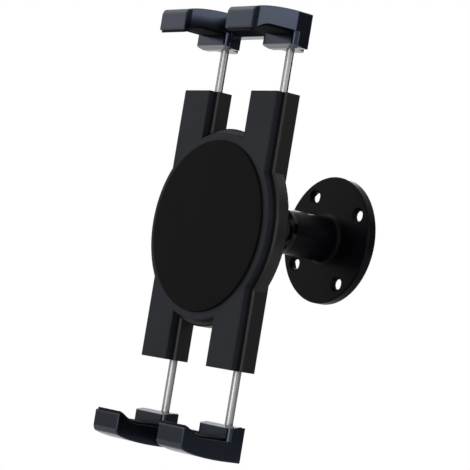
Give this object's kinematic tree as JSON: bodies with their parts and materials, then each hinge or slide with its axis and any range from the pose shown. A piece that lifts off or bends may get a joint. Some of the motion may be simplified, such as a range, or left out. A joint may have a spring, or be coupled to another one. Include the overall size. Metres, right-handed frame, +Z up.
{
  "type": "tablet wall mount",
  "caption": "Tablet wall mount: sprung jaws with hooked ends slide on steel rods out of a disc-shaped cradle, which tilts and turns on a ball joint carried by a round wall bracket.",
  "frame": {"origin": "centre of the wall bracket's four screw holes and of its post's core, on its back face", "axes": "+Y into the wall, +X to the right as seen by someone facing the wall, +Z up"},
  "size_m": [0.0924, 0.0958, 0.2046],
  "materials": {
    "shell": "moulded, fine texture",
    "cover": "moulded, fine texture, dark charcoal",
    "pad": "soft matt rubber",
    "jaw": "satin moulding, dark blue-grey",
    "grip": "soft matt rubber",
    "bracket": "satin black powder coat",
    "ring": "glossy black",
    "ball": "glossy black",
    "seat": "dark nylon",
    "dish": "spring steel",
    "stud": "nickel plated",
    "fastener": "black oxide",
    "rod": "polished",
    "spring": "spring wire",
    "collar": "turned",
    "bush": "black acetal"
  },
  "bodies": {
    "bracket": {"wall_bracket": "bracket", "ball_seat": "seat"},
    "ring": {"clamp_ring": "ring"},
    "dish": {"friction_dish": "dish"},
    "ball": {"ball": "ball"},
    "cradle": {"ball_stud": "stud", "stud_washer": "fastener", "stud_nut": "fastener", "rear_shell": "shell", "front_cover": "cover", "face_pad": "pad", "case_screws": "fastener", "upper_left_bush": "bush", "upper_right_bush": "bush", "lower_left_bush": "bush", "lower_right_bush": "bush", "upper_left_spring": "spring", "upper_right_spring": "spring", "lower_left_spring": "spring", "lower_right_spring": "spring"},
    "upper_jaw": {"upper_jaw": "jaw", "upper_jaw_screws": "fastener", "upper_left_rod": "rod", "upper_left_collar": "collar", "upper_left_grip": "grip", "upper_right_rod": "rod", "upper_right_collar": "collar", "upper_right_grip": "grip"},
    "lower_jaw": {"lower_jaw": "jaw", "lower_jaw_screws": "fastener", "lower_left_rod": "rod", "lower_left_collar": "collar", "lower_left_grip": "grip", "lower_right_rod": "rod", "lower_right_collar": "collar", "lower_right_grip": "grip"}
  },
  "joints": [
    {"name": "ring_turn", "type": "hinge", "parent": "bracket", "child": "ring", "pos_m": [0, -0.0298, 0], "axis": [0, 1, 0], "range_deg": [-90, 90]},
    {"name": "cradle_swing", "type": "hinge", "parent": "bracket", "child": "dish", "pos_m": [0, -0.0298, 0], "axis": [0, 0, 1], "range_deg": [-30, 30]},
    {"name": "cradle_tilt", "type": "hinge", "parent": "dish", "child": "ball", "pos_m": [0, -0.0298, 0], "axis": [1, 0, 0], "range_deg": [-20, 20]},
    {"name": "cradle_turn", "type": "hinge", "parent": "ball", "child": "cradle", "pos_m": [0, -0.0298, 0], "axis": [0, 1, 0], "continuous": true},
    {"name": "upper_jaw_slide", "type": "slide", "parent": "cradle", "child": "upper_jaw", "axis": [0, 0, 1], "range_m": [-0.02, 0.019], "stiffness_N_per_m": 300, "deforming": ["upper_left_spring", "upper_right_spring"]},
    {"name": "lower_jaw_slide", "type": "slide", "parent": "cradle", "child": "lower_jaw", "axis": [0, 0, -1], "range_m": [-0.0231, 0.0159], "stiffness_N_per_m": 300, "deforming": ["lower_left_spring", "lower_right_spring"]}
  ]
}
